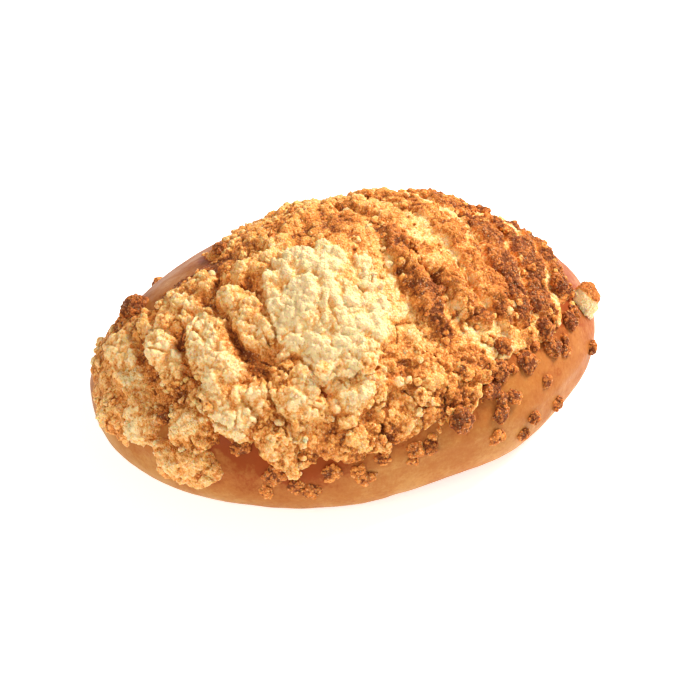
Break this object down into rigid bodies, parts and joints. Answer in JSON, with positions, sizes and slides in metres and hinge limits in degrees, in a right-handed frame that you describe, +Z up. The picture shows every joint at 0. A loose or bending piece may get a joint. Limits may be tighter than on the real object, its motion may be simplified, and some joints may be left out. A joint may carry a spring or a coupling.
{
  "type": "streusel bun",
  "caption": "Oval yeast bun with a flat foot, baked under a thick cracked crust of streusel with browned crumbs fused to its sides.",
  "frame": {"origin": "middle of the footprint, on the surface the bun rests on", "axes": "+X along the bun's length, +Z up; the pale plate of streusel is on the -Y side"},
  "size_m": [0.1386, 0.0994, 0.0601],
  "materials": {
    "streusel": "rough, crumbly, golden baked butter streusel",
    "pale_streusel": "rough, crumbly, pale butter streusel",
    "browned_streusel": "rough, dark caramelised crumbs",
    "dough_crust": "smooth, satin baked yeast dough"
  },
  "bodies": {
    "root": {"streusel_bun": "streusel"}
  },
  "joints": []
}
